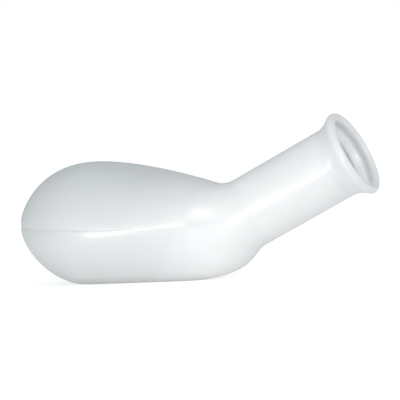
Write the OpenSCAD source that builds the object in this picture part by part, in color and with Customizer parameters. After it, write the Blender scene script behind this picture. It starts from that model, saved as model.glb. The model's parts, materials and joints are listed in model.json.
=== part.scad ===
// Urine bottle lying on its flat base: a hollow body of two shells, a slanting neck and a flared mouth.
// The tail tip is the start of the long axis, +X runs to the mouth, +Z is up, sizes are in millimetres.

/* [Body] */
// Height of the crown above the base
body_height = 96; // [80:1:120]
// Greatest width across the flanks
body_width = 114; // [94:1:138]
// Thickness of the body, neck and mouth walls
wall = 1.8; // [1.5:0.1:2.4]
// Distance from the tail tip to the crown
crown_x = 62; // [54:1:72]
// Distance from the tail tip to the greatest width
widest_x = 78; // [68:1:90]
// Height of the tail tip above the base
tail_height = 48; // [42:1:54]
// Height of the side seam above the base, at the greatest width
seam_height = 44; // [38:1:50]
// Distance from the tail tip to the shoulder, where the flanks draw in
shoulder_x = 150; // [140:1:156]
// Width across the flanks at the shoulder
shoulder_width = 88; // [76:1:104]
// Angle at which the flanks draw in at the shoulder
shoulder_angle = 21; // [14:1:26]
// Distance from the tail tip to the crease where the back meets the neck
crease_x = 161.5; // [156:0.5:164]
// Height of that crease above the base
crease_height = 75.5; // [70:0.5:80]
// Downward slope of the back where it reaches the crease
crease_angle = 18.5; // [12:0.5:24]

/* [Flat base] */
// Distance from the tail tip to the lowest point behind the tail
heel_x = 59; // [52:1:66]
// Distance from the tail tip to the lowest point ahead of the middle
toe_x = 114; // [104:1:124]
// How far the round belly is pressed flat to make the base
base_cut = 1.5; // [1:0.1:2.5]
// Distance from the tail tip to the part's origin, on the flat base
origin_x = 98; // [92:1:104]

/* [Section] */
// Squareness of the upper half of the body's cross section, where 2 is an ellipse
upper_square = 2.1; // [2:0.1:2.6]
// Squareness of the lower half of the body's cross section
lower_square = 2.5; // [2:0.1:2.9]
// How far the flanks stand out to a soft ridge along the side seam, as a share of their width
ridge = 0.10; // [0.02:0.01:0.16]
// Roundness of that ridge
ridge_round = 0.2; // [0.15:0.05:0.4]

/* [Neck] */
// Outer diameter of the neck
neck_diameter = 56; // [46:1:68]
// Upward slant of the neck
neck_angle = 26; // [20:1:32]
// Distance from the tail tip to the middle of the neck's root
root_x = 189; // [184:1:194]
// Height of the middle of the neck's root above the base
root_height = 51; // [47:1:56]
// Length of the straight neck, from its root to the flare
neck_length = 80; // [50:1:110]

/* [Mouth] */
// How far the lip stands out beyond the neck's outside
lip_overhang = 6.2; // [5:0.1:14]
// Angle of the flare from the neck's axis
flare_angle = 33; // [26:1:40]
// Radius of the hollow curve between the neck and the flare
flare_radius = 18; // [12:1:24]
// Radius of the round rim of the lip
rim_radius = 3.6; // [2.8:0.1:4.4]

/* [Joints] */
// Height of the lower shell's tongue inside the upper shell
tongue_height = 3.5; // [2.5:0.1:5]
// Length of the body's collar round the neck's end
collar_length = 8; // [5:0.5:12]
// Length of the neck's spigot inside the mouth
spigot_length = 5; // [3:0.5:6]
// Clearance of each lap joint, filled by the weld
weld_gap = 0.15; // [0.05:0.01:0.25]

/* [Fineness] */
// Facets across each shell
facets_across = 24; // [16:2:32]
// Rings along each of the body's three stretches
rings_along = 15; // [10:1:20]

/* [Hidden] */
// Reach of each curve's tangent, in the order in which the outline meets them
crown_reach = [7, 51, 32, 22];
crease_reach = [4, 4];
belly_reach = [6, 42];
throat_reach = [80, 19];
flank_reach = [38, 40, 34, 24, 13, 17];
seam_reach = [39, 25, 22, 14];
neck_radius = neck_diameter / 2;
lip_diameter = neck_diameter + 2 * lip_overhang;
bore_radius = neck_radius - wall;
// The tongue takes the inner half of the wall, and the collar is a little thinner than the outer half
tongue_depth = wall / 2;
collar_wall = tongue_depth - 0.15;
spigot_radius = neck_radius - tongue_depth - weld_gap / 2;
along = [cos(neck_angle), sin(neck_angle)];
above = [-sin(neck_angle), cos(neck_angle)];
root = [root_x, root_height];
round_fn = 96;
// The collar's socket starts just past the neck's root, and the neck's end stands off its floor by the same gap
seat_gap = 0.3;
skin = [0.93, 0.94, 0.95];

// Point on a cubic curve, given its ends and the two points that set its tangents
function cubic(a, b, c, d, t) =
    pow(1 - t, 3) * a + 3 * pow(1 - t, 2) * t * b + 3 * (1 - t) * t * t * c + t * t * t * d;

function blend(from, to, share) = from + (to - from) * share;

// The four lines that guide the body, each in three stretches: tail to crown, crown to shoulder, shoulder to neck
tail = [0, tail_height];
crown = [crown_x, body_height];
crease = [crease_x, crease_height];
crease_dir = [cos(crease_angle), -sin(crease_angle)];
root_top = root + neck_radius * above;
function back_line(stretch, t) =
    stretch == 0 ? cubic(tail, tail + [0, crown_reach[0]], crown - [crown_reach[1], 0], crown, t)
    : stretch == 1 ? cubic(crown, crown + [crown_reach[2], 0], crease - crown_reach[3] * crease_dir, crease, t)
    : cubic(crease, crease + crease_reach[0] * crease_dir, root_top - crease_reach[1] * along, root_top, t);

heel = [heel_x, -base_cut];
toe = [toe_x, -base_cut];
root_bottom = root - neck_radius * above;
function belly_line(stretch, t) =
    stretch == 0 ? cubic(tail, tail - [0, belly_reach[0]], heel - [belly_reach[1], 0], heel, t)
    : stretch == 1 ? blend(heel, toe, t)
    : cubic(toe, toe + [throat_reach[0], 0], root_bottom - throat_reach[1] * along, root_bottom, t);

widest = [widest_x, body_width / 2];
shoulder = [shoulder_x, shoulder_width / 2];
shoulder_dir = [cos(shoulder_angle), -sin(shoulder_angle)];
flank_end = [root_x, neck_radius];
function flank_line(stretch, t) =
    stretch == 0 ? cubic([0, 0], [0, flank_reach[0]], widest - [flank_reach[1], 0], widest, t)
    : stretch == 1 ? cubic(widest, widest + [flank_reach[2], 0], shoulder - flank_reach[3] * shoulder_dir, shoulder, t)
    : cubic(shoulder, shoulder + flank_reach[4] * shoulder_dir, flank_end - [flank_reach[5], 0], flank_end, t);

seam_mid = [widest_x, seam_height];
seam_rear = [shoulder_x, seam_height + 0.5];
function seam_line(stretch, t) =
    stretch == 0 ? cubic(tail, tail, seam_mid - [seam_reach[0], 0], seam_mid, t)
    : stretch == 1 ? cubic(seam_mid, seam_mid + [seam_reach[1], 0], seam_rear - [seam_reach[1], 0], seam_rear, t)
    : cubic(seam_rear, seam_rear + [seam_reach[2], 0], root - seam_reach[3] * along, root, t);

// One cross section: seam point, top point, bottom point, half width, squareness above and below, ridge.
// place runs from 0 at the tail to 3 at the neck's root, and to 4 at the end of the collar.
function smooth(x) = x * x * (3 - 2 * x);
function section(place) =
    let (stretch = min(floor(place), 2),
        t = min(place - stretch, 1),
        past = max(place - 3, 0) * collar_length * along,
        rounding = stretch == 2 ? smooth(t) : 0,
        flank = flank_line(stretch, t),
        seam = [flank[0], seam_line(stretch, t)[1]])
    [seam + past, back_line(stretch, t) + past, belly_line(stretch, t) + past, flank[1],
        blend(upper_square, 2, rounding), blend(lower_square, 2, rounding), ridge * (1 - rounding)];

// Point on the body's outside at an angle round the section: 0 and 180 are the seam, 90 is the top.
// Where the belly would dip below the base it is flattened on it.
function outside(part, angle) =
    let (rise = sin(angle),
        run = cos(angle),
        power = 2 / (rise >= 0 ? part[4] : part[5]),
        stand = 1 - part[6] * (sqrt(rise * rise + ridge_round * ridge_round) - ridge_round),
        side = sign(run) * pow(abs(run), power) * stand * part[3],
        point = part[0] + pow(abs(rise), power) * ((rise >= 0 ? part[1] : part[2]) - part[0]))
    [point[0], side, max(point[1], 0)];

// Point at a depth below the outside
probe = 0.004;
probe_angle = 0.5;
function below(place, angle, depth) =
    place == 0 ? [depth, 0, tail_height]
    : depth == 0 ? outside(section(place), angle)
    : let (part = section(place),
        length_step = outside(section(place + probe), angle) - outside(section(place - probe), angle),
        round_step = outside(part, angle + probe_angle) - outside(part, angle - probe_angle),
        inward = cross(length_step, round_step))
    outside(part, angle) + depth * inward / norm(inward);

// Angle at which the section has risen a given height above the seam, less where the tail is low
function lap_angle(place, height) =
    let (part = section(place),
        tall = norm(part[1] - part[0]),
        share = tall > 0 ? min(height / tall, 0.3 * height / tongue_height) : 0)
    asin(pow(share, part[4] / 2));

// Places of the rings, from the tail to the collar's end
ring_count = 3 * rings_along;
places = [for (i = [0:ring_count]) i / rings_along, 3 + seat_gap / collar_length, 3.5, 4];
// The collar is thinner than the body, to leave room for the neck's end, and so is the lap joint along it
function thinning(place) = place > 3 ? collar_wall / wall : 1;

// Edge of one shell's cross section as pairs of angle and depth, outside first, then the inside back again
function lower_edge(place) =
    let (top = lap_angle(place, tongue_height), seat = tongue_depth + weld_gap, n = facets_across)
    [for (k = [0:n]) [-180 + 180 * k / n, 0],
        [0, seat], [top, seat], [top, wall],
        for (k = [n:-1:0]) [-180 + 180 * k / n, wall],
        [-180 - top, wall], [-180 - top, seat], [-180, seat]];
function upper_edge(place) =
    let (low = lap_angle(place, tongue_height + weld_gap), n = facets_across, span = 180 - 2 * low)
    [[0, 0], for (k = [0:n]) [low + span * k / n, 0], [180, 0],
        [180, tongue_depth], [180 - low, tongue_depth],
        for (k = [n:-1:0]) [low + span * k / n, wall],
        [low, tongue_depth], [0, tongue_depth]];

// Closed skin through every ring's edge. All points of one depth meet at the tail tip, and cap_faces closes the
// collar's end.
module sweep(edges, cap_faces) {
    size = len(edges[0]);
    rings = [for (i = [1:len(places) - 1]) for (pair = edges[i])
        below(places[i], pair[0], pair[1] * thinning(places[i]))];
    depths = [for (pair = edges[0]) pair[1]];
    tips = [for (depth = depths) below(0, 0, depth)];
    first = [for (k = [0:size - 1]) search(depths[k], depths)[0]];
    tail_faces = [for (k = [0:size - 1])
        let (next = (k + 1) % size)
        first[k] == first[next] ? [first[k], size + k, size + next]
            : [first[next], first[k], size + k, size + next]];
    side_faces = [for (i = [1:len(places) - 2]) for (k = [0:size - 1])
        let (next = (k + 1) % size, here = i * size, there = (i + 1) * size)
        [here + next, here + k, there + k, there + next]];
    end = (len(places) - 1) * size;
    polyhedron(concat(tips, rings), concat(tail_faces, side_faces,
        [for (face = cap_faces) [for (k = [len(face) - 1:-1:0]) end + face[k]]]));
}

module on_root(distance) {
    translate([root_x - origin_x + distance * along[0], 0, root_height + distance * along[1]])
        rotate([0, 90 - neck_angle, 0])
            children();
}

// Faces that close the collar's end, numbered as the points of upper_edge and lower_edge are. Where three points
// of a face lie in line, it is split into triangles from its first point.
function fan(face) = [for (k = [1:len(face) - 2]) [face[0], face[k], face[k + 1]]];
function row_faces(outer, inner) =
    [for (k = [1:facets_across - 2]) [outer + k, outer + k + 1, inner - k - 1, inner - k]];
function upper_cap() =
    let (n = facets_across, inner = 2 * n + 5)
    concat(row_faces(1, inner),
        [[0, 1, 2 * n + 6, 2 * n + 7], [n + 1, n + 2, n + 3, n + 4]],
        fan([2, inner - 1, inner, 2 * n + 6, 1]),
        fan([n, n + 1, n + 4, n + 5, n + 6]));
function lower_cap() =
    let (n = facets_across, inner = 2 * n + 4)
    concat(row_faces(0, inner),
        [[n + 1, n + 2, n + 3, n + 4], [2 * n + 7, inner, 2 * n + 5, 2 * n + 6]],
        fan([n - 1, n, n + 1, n + 4, n + 5]),
        fan([1, inner - 1, inner, 2 * n + 7, 0]));

// Top half of the body, from the side seam over the crown
module upper_shell() {
    color(skin)
        translate([-origin_x, 0, 0])
            sweep([for (place = places) upper_edge(place)], upper_cap());
}

// Bottom half of the body, with the tongue along its edge and the flat base
module lower_shell() {
    color(skin)
        translate([-origin_x, 0, 0])
            sweep([for (place = places) lower_edge(place)], lower_cap());
}

// Straight tube with a thinner end that plugs into the collar and another that plugs into the mouth
module neck_tube() {
    tube_length = neck_length + spigot_length - 2 * seat_gap;
    color(skin)
        on_root(0)
            difference() {
                union() {
                    translate([0, 0, 2 * seat_gap])
                        cylinder(h = tube_length, r = spigot_radius, $fn = round_fn);
                    translate([0, 0, collar_length])
                        cylinder(h = neck_length - collar_length, r = neck_radius, $fn = round_fn);
                }
                cylinder(h = neck_length + 2 * spigot_length, r = bore_radius, $fn = round_fn);
            }
}

// Flared mouth: a socket for the neck, a hollow curve, a straight cone and a round rim, as radius and length pairs
flare_turn = [for (k = [0:6]) flare_angle * k / 6];
bend_end = [neck_radius + flare_radius * (1 - cos(flare_angle)), flare_radius * sin(flare_angle)];
cone_rise = lip_diameter / 2 - rim_radius * (1 - cos(flare_angle)) - bend_end[0];
cone_end = bend_end + cone_rise * [1, cos(flare_angle) / sin(flare_angle)];
rim_middle = cone_end - rim_radius * [cos(flare_angle), -sin(flare_angle)];
module mouth_flare() {
    outer = [for (turn = flare_turn) [neck_radius + flare_radius * (1 - cos(turn)), flare_radius * sin(turn)]];
    inner = [for (turn = flare_turn)
        [neck_radius + flare_radius - (flare_radius + wall) * cos(turn), (flare_radius + wall) * sin(turn)]];
    cone_inside = cone_end - wall * [cos(flare_angle), -sin(flare_angle)];
    color(skin)
        on_root(neck_length)
            difference() {
                rotate_extrude($fn = round_fn) {
                    polygon(concat(outer, [cone_end, cone_inside], [for (k = [6:-1:0]) inner[k]]));
                    translate(rim_middle)
                        circle(r = rim_radius, $fn = 48);
                }
                translate([0, 0, -wall])
                    cylinder(h = spigot_length + wall, r = spigot_radius + weld_gap, $fn = round_fn);
            }
}

upper_shell();
lower_shell();
neck_tube();
mouth_flare();
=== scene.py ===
import json
from math import cos, pi, radians, sin, tan

import bmesh
import bpy
import numpy as np
from mathutils import Matrix, Vector


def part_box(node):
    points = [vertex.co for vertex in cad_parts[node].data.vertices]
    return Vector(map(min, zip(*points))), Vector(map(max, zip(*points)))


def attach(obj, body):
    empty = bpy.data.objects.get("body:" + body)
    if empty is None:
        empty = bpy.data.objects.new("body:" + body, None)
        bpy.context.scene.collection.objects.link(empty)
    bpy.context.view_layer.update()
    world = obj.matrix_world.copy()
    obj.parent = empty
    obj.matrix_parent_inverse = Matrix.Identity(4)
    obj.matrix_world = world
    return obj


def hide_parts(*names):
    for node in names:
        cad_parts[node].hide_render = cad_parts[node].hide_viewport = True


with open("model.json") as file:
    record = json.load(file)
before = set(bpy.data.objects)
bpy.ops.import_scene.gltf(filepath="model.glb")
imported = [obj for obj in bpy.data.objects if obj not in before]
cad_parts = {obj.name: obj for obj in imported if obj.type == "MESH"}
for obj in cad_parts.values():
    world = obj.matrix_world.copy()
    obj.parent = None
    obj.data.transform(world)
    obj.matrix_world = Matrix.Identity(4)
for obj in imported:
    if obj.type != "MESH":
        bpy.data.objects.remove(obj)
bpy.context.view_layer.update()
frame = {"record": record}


# ---- Upper shell ----------------------------------------------------------------------------------------
# The top half of the hollow body: milky polyethylene, blown against a polished mould, so it is thin, seamless
# over the crown and satin outside. It meets the lower shell edge to edge along the soft side ridge.
shell_low, shell_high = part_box("upper_shell")
tail_x = shell_low.x
neck_mount = next(m for m in frame["record"]["mounts"] if m["name"] == "neck_bore")
neck_along = np.array(neck_mount["axis"])
neck_above = np.array([-neck_along[2], 0.0, neck_along[0]])
bore_radius = neck_mount["dims"]["r_mm"] / 1000
bore_length = neck_mount["dims"]["length_mm"] / 1000
wall = 0.0018
neck_radius = bore_radius + wall
seat_gap = 0.0006
neck_root = np.array(neck_mount["pos_m"]) - neck_along * (bore_length / 2 + seat_gap)
collar_length = 0.008
collar_wall = 0.00075


def from_tail(x, height):
    """A point in the plane of symmetry, from its distance ahead of the tail tip."""
    return np.array([tail_x + x, height])


def reach(length, slope=0.0):
    """A tangent of that length, turned up by slope in radians."""
    return length * np.array([cos(slope), sin(slope)])


def bend(start, out, back, end, t):
    """Cubic curve from start to end, which leaves along out and arrives along back."""
    t = t[..., None]
    return (
        (1 - t) ** 3 * start
        + 3 * (1 - t) ** 2 * t * (start + out)
        + 3 * (1 - t) * t**2 * (end - back)
        + t**3 * end
    )


def three_stretches(place, tail_part, middle_part, neck_part):
    """One guide line, from the tail at 0, past 1 and 2, to the neck's root at 3."""
    parts = [part(np.clip(place - k, 0, 1)) for k, part in enumerate((tail_part, middle_part, neck_part))]
    return np.where((place < 1)[..., None], parts[0], np.where((place < 2)[..., None], parts[1], parts[2]))


tail_tip = from_tail(0, 0.048)
crown = from_tail(0.062, shell_high.z)
crease = from_tail(0.1615, 0.0755)
crease_slope = radians(-18.5)
heel = from_tail(0.059, -0.0015)
toe = from_tail(0.114, -0.0015)
widest = from_tail(0.078, shell_high.y)
shoulder = from_tail(0.150, 0.044)
shoulder_slope = radians(-21)
seam_mid = from_tail(0.078, 0.044)
seam_rear = from_tail(0.150, 0.0445)
neck_slope = np.arctan2(neck_along[2], neck_along[0])
root = neck_root[[0, 2]]
root_top = root + neck_radius * neck_above[[0, 2]]
root_bottom = root - neck_radius * neck_above[[0, 2]]
root_side = np.array([root[0], neck_radius])
upright = np.array([0.0, 1.0])


def guide_lines(place):
    """The back, belly, flank and seam of the body at each place along it."""
    back = three_stretches(
        place,
        lambda t: bend(tail_tip, 0.007 * upright, reach(0.051), crown, t),
        lambda t: bend(crown, reach(0.032), reach(0.022, crease_slope), crease, t),
        lambda t: bend(crease, reach(0.004, crease_slope), reach(0.004, neck_slope), root_top, t),
    )
    belly = three_stretches(
        place,
        lambda t: bend(tail_tip, -0.006 * upright, reach(0.042), heel, t),
        lambda t: heel + (toe - heel) * t[..., None],
        lambda t: bend(toe, reach(0.080), reach(0.019, neck_slope), root_bottom, t),
    )
    flank = three_stretches(
        place,
        lambda t: bend(from_tail(0, 0), 0.038 * upright, reach(0.040), widest, t),
        lambda t: bend(widest, reach(0.034), reach(0.024, shoulder_slope), shoulder, t),
        lambda t: bend(shoulder, reach(0.013, shoulder_slope), reach(0.017), root_side, t),
    )
    seam = three_stretches(
        place,
        lambda t: bend(tail_tip, 0 * upright, reach(0.039), seam_mid, t),
        lambda t: bend(seam_mid, reach(0.025), reach(0.025), seam_rear, t),
        lambda t: bend(seam_rear, reach(0.022), reach(0.014, neck_slope), root, t),
    )
    return back, belly, flank, seam


base_softness = 0.001


def outside_point(place, angle):
    """A point of the body's outside. Angle 0 and pi are the seams, and a half pi is the top."""
    back, belly, flank, seam = guide_lines(place)
    past = np.maximum(place - 3, 0)[..., None] * collar_length * neck_along[[0, 2]]
    roundness = np.clip(place - 2, 0, 1)
    roundness = roundness**2 * (3 - 2 * roundness)
    rise, run = np.sin(angle), np.cos(angle)
    square = np.where(rise >= 0, 2.1, 2.5)
    power = 2 / (square + (2 - square) * roundness)
    ridge = 0.10 * (1 - roundness) * (np.sqrt(rise**2 + 0.04) - 0.2)
    side = np.sign(run) * np.abs(run) ** power * (1 - ridge) * flank[..., 1]
    middle = np.stack([flank[..., 0], seam[..., 1]], -1)
    limit = np.where((rise >= 0)[..., None], back, belly)
    point = middle + (np.abs(rise) ** power)[..., None] * (limit - middle) + past
    height = point[..., 1]
    pressed = (np.clip(height, -base_softness, base_softness) + base_softness) ** 2 / (4 * base_softness)
    height = np.where(height > base_softness, height, pressed)
    return np.stack([point[..., 0], side, height], -1)


def body_point(place, angle, depth):
    """A point at a depth below the outside, along the surface's own normal."""
    probe, turn = 0.004, radians(0.5)
    along = outside_point(place + probe, angle) - outside_point(np.maximum(place - probe, 0), angle)
    around = outside_point(place, angle + turn) - outside_point(place, angle - turn)
    inward = np.cross(along, around)
    inward /= np.linalg.norm(inward, axis=-1, keepdims=True)
    return outside_point(place, angle) + inward * np.asarray(depth)[..., None]


def shell_piece(name, first_angle, rings=132, columns=96):
    """Half of the body as one closed skin, from the tail tip to the end of the collar round the neck."""
    edge_round = 0.00003
    stretch = np.linspace(0, 1, rings // 3, endpoint=False)
    places = np.concatenate([stretch**1.25, 1 + stretch, 2 + stretch, [3, 3.04, 3.5, 3.985, 4]])[1:]
    # The columns gather towards the seams, with one right beside each, so that only the edge itself is broken
    even = np.linspace(0, 1, columns - 1)
    gathered = even - 0.6 * np.sin(2 * pi * even) / (2 * pi)
    beside = 0.0003 if first_angle == 0 else 0.0001
    angles = first_angle + pi * np.concatenate([[0, beside], gathered[1:-1], [1 - beside, 1]])
    # Each ring runs over the outside and back along the inside, with its four edges broken a little
    loop_angle = np.concatenate([angles, angles[::-1]])
    loop_depth = np.concatenate([np.zeros(columns + 1), np.full(columns + 1, wall)])
    loop_depth[[0, columns]] = edge_round
    ring_place, ring_angle = np.meshgrid(places, loop_angle, indexing="ij")
    thinning = np.where(places > 3.02, collar_wall / wall, 1.0)
    depth = loop_depth[None, :] * thinning[:, None]
    depth[-1, : columns + 1] += edge_round
    points = body_point(ring_place, ring_angle, depth)
    tips = np.array([[tail_x, 0, tail_tip[1]], [tail_x + wall, 0, tail_tip[1]]])
    size = len(loop_angle)
    index = 2 + np.arange(points.shape[0] * size).reshape(-1, size)
    after = np.roll(index, -1, axis=1)
    quads = np.stack([after[:-1], index[:-1], index[1:], after[1:]], -1).reshape(-1, 4).tolist()
    half = columns + 1
    fans = [[0, index[0, k], index[0, k + 1]] for k in range(half - 1)]
    fans += [[1, index[0, k], index[0, k + 1]] for k in range(half, size - 1)]
    fans += [[0, 1, index[0, half], index[0, half - 1]], [1, 0, index[0, 0], index[0, size - 1]]]
    last = index[-1]
    rim = [[last[k], last[k + 1], last[size - 2 - k], last[size - 1 - k]] for k in range(half - 1)]
    mesh = bpy.data.meshes.new(name)
    mesh.from_pydata(np.vstack([tips, points.reshape(-1, 3)]).tolist(), [], quads + fans + rim)
    inner_skin = np.repeat([0.0, 1.0], half)
    return finish_mesh(mesh, name, np.concatenate([[0, 1], np.tile(inner_skin, len(points))]))


def finish_mesh(mesh, name, inside):
    """Turns every face outward, smooths the shading between crisp edges, and puts the piece in the scene.
    Inside has a number for each point: 1 on the skin that faces the hollow and 0 elsewhere."""
    work = bmesh.new()
    work.from_mesh(mesh)
    bmesh.ops.recalc_face_normals(work, faces=work.faces)
    work.to_mesh(mesh)
    work.free()
    mesh.polygons.foreach_set("use_smooth", [True] * len(mesh.polygons))
    mesh.set_sharp_from_angle(angle=radians(30))
    mesh.update()
    facing = mesh.attributes.new("inside", "FLOAT", "POINT")
    facing.data.foreach_set("value", np.asarray(inside, dtype=np.float32))
    piece = bpy.data.objects.new(name, mesh)
    bpy.context.scene.collection.objects.link(piece)
    return piece


def milky_plastic(name, tint, shade, neck_painted_light=None):
    """Milky blow-moulded plastic: light scatters in the wall, and the skin is satin, with faint flow lines.
    A second level whitens it towards the neck: partly the neck's own whiter plastic and partly painted light,
    standing in for the brighter light the neck gets. The skin that faces the hollow is painted whiter still,
    standing in for the light that comes through the wall."""
    material = bpy.data.materials.new(name)
    material.use_nodes = True
    nodes, links = material.node_tree.nodes, material.node_tree.links
    plastic = nodes["Principled BSDF"]
    plastic.inputs["IOR"].default_value = 1.54
    plastic.inputs["Subsurface Radius"].default_value = (1.0, 0.97, 0.93)
    plastic.inputs["Specular IOR Level"].default_value = 0.8
    plastic.inputs["Coat Weight"].default_value = 0.6
    plastic.inputs["Coat Roughness"].default_value = 0.1

    place = nodes.new("ShaderNodeTexCoord")

    def noise(scale, detail, stretch=(1, 1, 1)):
        mapping = nodes.new("ShaderNodeMapping")
        mapping.inputs["Scale"].default_value = stretch
        links.new(place.outputs["Object"], mapping.inputs["Vector"])
        texture = nodes.new("ShaderNodeTexNoise")
        texture.inputs["Scale"].default_value = scale
        texture.inputs["Detail"].default_value = detail
        links.new(mapping.outputs["Vector"], texture.inputs["Vector"])
        return texture.outputs["Fac"]

    def ramp(source, low, high, start=0.3, end=0.7):
        colours = nodes.new("ShaderNodeValToRGB")
        colours.color_ramp.elements[0].position = start
        colours.color_ramp.elements[1].position = end
        colours.color_ramp.elements[0].color = (*low, 1)
        colours.color_ramp.elements[1].color = (*high, 1)
        links.new(source, colours.inputs["Fac"])
        return colours.outputs["Color"]

    # The wall is a little thicker in some places than in others, which shows as clouds in the milk
    def clouds(level, colour):
        thin = tuple(0.965 * level * c for c in colour)
        thick = tuple(level * c for c in colour)
        return ramp(noise(22, 2), thin, thick)

    colour = clouds(shade, tint)
    # Whiter towards the neck: partly painted light, standing in for the brighter light the neck gets
    if neck_painted_light is not None:
        axes = nodes.new("ShaderNodeSeparateXYZ")
        links.new(place.outputs["Object"], axes.inputs["Vector"])
        nearness = nodes.new("ShaderNodeMapRange")
        nearness.interpolation_type = "SMOOTHSTEP"
        nearness.inputs["From Min"].default_value = float(neck_root[0]) - 0.085
        nearness.inputs["From Max"].default_value = float(neck_root[0]) - 0.008
        links.new(axes.outputs["X"], nearness.inputs["Value"])
        whiten = nodes.new("ShaderNodeMix")
        whiten.data_type = "RGBA"
        links.new(nearness.outputs["Result"], whiten.inputs["Factor"])
        links.new(colour, whiten.inputs["A"])
        links.new(clouds(neck_painted_light, (1, 1, 1)), whiten.inputs["B"])
        colour = whiten.outputs["Result"]

    # A whiter lining and deeper scatter stand in for the daylight that comes through the wall into the hollow
    inside = nodes.new("ShaderNodeAttribute")
    inside.attribute_name = "inside"
    lining = nodes.new("ShaderNodeMix")
    lining.data_type = "RGBA"
    lining.inputs["B"].default_value = (0.98, 0.98, 0.98, 1)
    links.new(inside.outputs["Fac"], lining.inputs["Factor"])
    links.new(colour, lining.inputs["A"])
    links.new(lining.outputs["Result"], plastic.inputs["Base Color"])
    glow_depth = nodes.new("ShaderNodeMapRange")
    glow_depth.inputs["To Min"].default_value = 0.0008
    glow_depth.inputs["To Max"].default_value = 0.006
    links.new(inside.outputs["Fac"], glow_depth.inputs["Value"])
    links.new(glow_depth.outputs["Result"], plastic.inputs["Subsurface Scale"])
    scatter = nodes.new("ShaderNodeMapRange")
    scatter.inputs["To Min"].default_value = 0.7
    scatter.inputs["To Max"].default_value = 1.0
    links.new(inside.outputs["Fac"], scatter.inputs["Value"])
    links.new(scatter.outputs["Result"], plastic.inputs["Subsurface Weight"])

    # Handling has dulled the gloss in patches
    rough = nodes.new("ShaderNodeMapRange")
    rough.inputs["To Min"].default_value = 0.30
    rough.inputs["To Max"].default_value = 0.36
    links.new(noise(31, 1), rough.inputs["Value"])
    links.new(rough.outputs["Result"], plastic.inputs["Roughness"])

    # Slow flow waves from the blowing, and the fine grain of the mould over them
    wave = nodes.new("ShaderNodeBump")
    wave.inputs["Strength"].default_value = 0.25
    wave.inputs["Distance"].default_value = 0.0006
    links.new(noise(38, 1, (0.5, 1, 1)), wave.inputs["Height"])
    grain = nodes.new("ShaderNodeBump")
    grain.inputs["Strength"].default_value = 0.08
    grain.inputs["Distance"].default_value = 0.0001
    links.new(noise(900, 2), grain.inputs["Height"])
    links.new(wave.outputs["Normal"], grain.inputs["Normal"])
    links.new(grain.outputs["Normal"], plastic.inputs["Normal"])
    return material


# 0.86 is the lighter level towards the neck, partly painted light
body_plastic = milky_plastic("milky_body", (0.975, 1.0, 1.0), 0.72, 0.86)
upper_shell = shell_piece("body_upper", 0.0)
upper_shell.data.materials.append(body_plastic)
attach(upper_shell, "root")
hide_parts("upper_shell")


# ---- Lower shell ----------------------------------------------------------------------------------------
# The bottom half of the body, in the same milky polyethylene. Its belly is pressed flat where the bottle
# stands, and its edge is welded into the upper shell's along the side ridge.
lower_shell = shell_piece("body_lower", -pi)
lower_shell.data.materials.append(body_plastic)
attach(lower_shell, "root")
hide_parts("lower_shell")


# ---- Neck -----------------------------------------------------------------------------------------------
# A straight round tube, thicker and whiter than the blown body. Its whiter level is partly painted light,
# standing in for the brighter light the neck gets.
# Its thinned lower end plugs into the body's collar and its thinned upper end into the mouth, and both laps
# are welded.
neck_length = 0.080
spigot_length = 0.005
spigot_radius = neck_radius - wall / 2 - 0.000075


def turned_piece(name, profile, inside, columns=160):
    """A closed profile of (distance along the neck's axis, radius), turned round that axis.
    Inside holds the first and last number of the profile's points that face the hollow."""
    profile = np.asarray(profile)
    faces_hollow = np.zeros(len(profile))
    faces_hollow[inside[0] : inside[1] + 1] = 1
    turn = np.linspace(0, 2 * pi, columns, endpoint=False)
    across = np.array([0.0, 1.0, 0.0])
    spoke = np.cos(turn)[:, None] * across + np.sin(turn)[:, None] * neck_above
    points = neck_root + profile[:, None, :1] * neck_along + profile[:, None, 1:] * spoke[None, :, :]
    index = np.arange(len(profile) * columns).reshape(len(profile), columns)
    after_ring, after_turn = np.roll(index, -1, axis=0), np.roll(index, -1, axis=1)
    corner = np.roll(after_ring, -1, axis=1)
    quads = np.stack([index, after_turn, corner, after_ring], -1).reshape(-1, 4)
    mesh = bpy.data.meshes.new(name)
    mesh.from_pydata(points.reshape(-1, 3).tolist(), [], quads.tolist())
    return finish_mesh(mesh, name, np.repeat(faces_hollow, columns))


edge = 0.00006
neck_profile = [(seat_gap, spigot_radius)]
neck_profile += [(collar_length, spigot_radius), (collar_length, neck_radius - edge)]
neck_profile += [(z, neck_radius) for z in np.linspace(collar_length + edge, neck_length - edge, 15)]
neck_profile += [(neck_length, neck_radius - edge), (neck_length, spigot_radius)]
neck_end = neck_length + spigot_length - seat_gap
neck_profile += [(neck_end, spigot_radius)]
bore_start = len(neck_profile)
neck_profile += [(neck_end, bore_radius)]
neck_profile += [(z, bore_radius) for z in np.linspace(neck_end - edge, seat_gap + edge, 15)]
neck_profile += [(seat_gap, bore_radius)]
neck = turned_piece("neck", neck_profile, (bore_start, len(neck_profile) - 1))
# The neck's whiter level is partly painted light, for the brighter light the neck gets
neck.data.materials.append(milky_plastic("milky_neck", (1.0, 1.0, 1.0), 0.87))
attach(neck, "root")
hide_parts("neck_tube")


# ---- Mouth ----------------------------------------------------------------------------------------------
# The flared mouth, with a rim rolled thick and round so that no edge touches skin. It is pushed over the
# neck's thinned end and welded there, where the hollow curve of the flare starts.
lip_low, lip_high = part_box("mouth_flare")
box_margin = 0.00002
lip_radius = lip_high.y - box_margin
flare_angle = radians(33)
flare_radius = 0.018
rim_radius = 0.0036


def arc(centre, radius, start, end, count):
    """Points on an arc, as (distance along, radius), with angles from the axis in radians."""
    turn = np.linspace(start, end, count)
    return [(centre[0] + radius * np.cos(a), centre[1] + radius * np.sin(a)) for a in turn]


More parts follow.
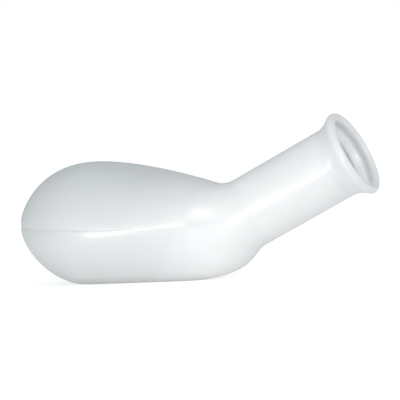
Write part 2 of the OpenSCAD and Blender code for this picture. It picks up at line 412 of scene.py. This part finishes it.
curve_centre = (neck_length, neck_radius + flare_radius)
curve_out = arc(curve_centre, flare_radius, -pi / 2, -pi / 2 + flare_angle, 14)
curve_in = arc(curve_centre, flare_radius + wall, -pi / 2 + flare_angle, -pi / 2, 14)
rim_rise = lip_radius - rim_radius * (1 - cos(flare_angle)) - curve_out[-1][1]
cone_end = (curve_out[-1][0] + rim_rise / tan(flare_angle), curve_out[-1][1] + rim_rise)
rim_centre = (cone_end[0] + rim_radius * sin(flare_angle), cone_end[1] - rim_radius * cos(flare_angle))
rim_turn_in = radians(52)
rim_arc = arc(rim_centre, rim_radius, pi / 2 + flare_angle, -pi / 2 - rim_turn_in, 40)
seat_radius = spigot_radius + 0.0001
mouth_profile = [(neck_length, seat_radius), (neck_length, neck_radius - edge)]
mouth_profile += curve_out[1:] + rim_arc
# The last points of the rim's arc already face the throat
throat_start = len(mouth_profile) - 3
mouth_profile += [p for p in curve_in if p[0] > neck_length + spigot_length]
mouth_profile += [(neck_length + spigot_length, seat_radius)]
mouth = turned_piece("mouth", mouth_profile, (throat_start, len(mouth_profile) - 1))
mouth.data.materials.append(milky_plastic("milky_mouth", (0.985, 1.0, 1.01), 0.85))
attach(mouth, "root")
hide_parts("mouth_flare")


# ---- Studio ---------------------------------------------------------------------------------------------
# A plain white floor and a plain white room. The light is soft and comes mostly from the front, with a long
# low panel that draws the highlight along the side ridge.
floor_mesh = bpy.data.meshes.new("floor")
floor_radius = 6.0
floor_corners = 64
floor_turns = [2 * pi * k / floor_corners for k in range(floor_corners)]
floor_ring = [(floor_radius * cos(turn), floor_radius * sin(turn), 0) for turn in floor_turns]
floor_mesh.from_pydata(floor_ring, [], [list(range(floor_corners))])
floor = bpy.data.objects.new("floor", floor_mesh)
bpy.context.scene.collection.objects.link(floor)
floor_paint = bpy.data.materials.new("floor_paint")
floor_paint.use_nodes = True
paint_nodes, paint_links = floor_paint.node_tree.nodes, floor_paint.node_tree.links
paint = paint_nodes["Principled BSDF"]
paint.inputs["Base Color"].default_value = (0.8, 0.8, 0.8, 1)
paint.inputs["Roughness"].default_value = 1.0
paint.inputs["Specular IOR Level"].default_value = 0.0
paint.inputs["Emission Color"].default_value = (1, 1, 1, 1)
floor_seen = paint_nodes.new("ShaderNodeLightPath")
floor_glow = paint_nodes.new("ShaderNodeMath")
floor_glow.operation = "MULTIPLY_ADD"
floor_glow.inputs[1].default_value = 0.36
floor_glow.inputs[2].default_value = 0.18
paint_links.new(floor_seen.outputs["Is Camera Ray"], floor_glow.inputs[0])
paint_links.new(floor_glow.outputs["Value"], paint.inputs["Emission Strength"])
floor_mesh.materials.append(floor_paint)

room = bpy.data.worlds.new("room")
bpy.context.scene.world = room
room.use_nodes = True
air, wires = room.node_tree.nodes, room.node_tree.links
direction = air.new("ShaderNodeTexCoord")
front = air.new("ShaderNodeVectorMath")
front.operation = "DOT_PRODUCT"
front.inputs[1].default_value = (0.30, -0.93, 0.20)
wires.new(direction.outputs["Generated"], front.inputs[0])
ahead = air.new("ShaderNodeMapRange")
ahead.inputs["From Min"].default_value = -0.9
ahead.inputs["From Max"].default_value = 0.9
ahead.inputs["To Min"].default_value = 0.50
ahead.inputs["To Max"].default_value = 0.74
wires.new(front.outputs["Value"], ahead.inputs["Value"])
seen = air.new("ShaderNodeLightPath")
level = air.new("ShaderNodeMix")
level.data_type = "FLOAT"
wires.new(seen.outputs["Is Camera Ray"], level.inputs["Factor"])
wires.new(ahead.outputs["Result"], level.inputs["A"])
level.inputs["B"].default_value = 1.0
wires.new(level.outputs["Result"], air["Background"].inputs["Strength"])
cool = air.new("ShaderNodeMix")
cool.data_type = "RGBA"
wires.new(level.outputs["Result"], cool.inputs["Factor"])
cool.inputs["A"].default_value = (0.88, 1.0, 1.06, 1)
cool.inputs["B"].default_value = (1, 1, 1, 1)
wires.new(cool.outputs["Result"], air["Background"].inputs["Color"])


def panel(name, azimuth, elevation, distance, width, height, power):
    """A soft light that faces the bottle."""
    light = bpy.data.lights.new(name, "AREA")
    light.shape = "RECTANGLE"
    light.size, light.size_y = width, height
    light.energy = power
    lamp = bpy.data.objects.new(name, light)
    lamp.visible_camera = False
    bpy.context.scene.collection.objects.link(lamp)
    aim = Vector((0.0, 0, 0.045))
    away = Vector((sin(azimuth) * cos(elevation), -cos(azimuth) * cos(elevation), sin(elevation)))
    lamp.location = aim + away * distance
    lamp.rotation_euler = away.to_track_quat("Z", "Y").to_euler()
    return lamp


panel("key_panel", radians(34), radians(14), 1.6, 1.0, 1.0, 1.2)
panel("mouth_panel", radians(55), radians(25), 0.6, 0.25, 0.25, 0.45)
panel("long_panel", radians(-22), radians(1.5), 1.1, 1.4, 0.10, 0.4)
panel("low_panel", radians(2), radians(-8), 0.25, 0.25, 0.016, 0.15)


# ---- Camera ---------------------------------------------------------------------------------------------
# A long lens two metres off, almost level with the floor and turned towards the open mouth.
azimuth, elevation, roll = radians(21), radians(2), radians(3)
toward = Vector((sin(azimuth) * cos(elevation), -cos(azimuth) * cos(elevation), sin(elevation)))
level_right = Vector((cos(azimuth), sin(azimuth), 0))
level_up = toward.cross(level_right)
right = level_right * cos(roll) - level_up * sin(roll)
up = level_right * sin(roll) + level_up * cos(roll)
shift_right, shift_up = 0.00334, 0.00435
aim = Vector((tail_x + 0.145, 0, 0.058)) + right * shift_right + up * shift_up
distance = 2
lens = bpy.data.cameras.new("camera")
lens.lens = 230.8
lens.sensor_width = 36
lens.clip_end = 50
camera = bpy.data.objects.new("camera", lens)
bpy.context.scene.collection.objects.link(camera)
turned = Matrix((right, up, toward)).transposed().to_4x4()
camera.matrix_world = Matrix.Translation(aim + toward * distance) @ turned
bpy.context.scene.camera = camera
bpy.context.scene.view_settings.view_transform = "Standard"
bpy.context.scene.cycles.diffuse_bounces = 10
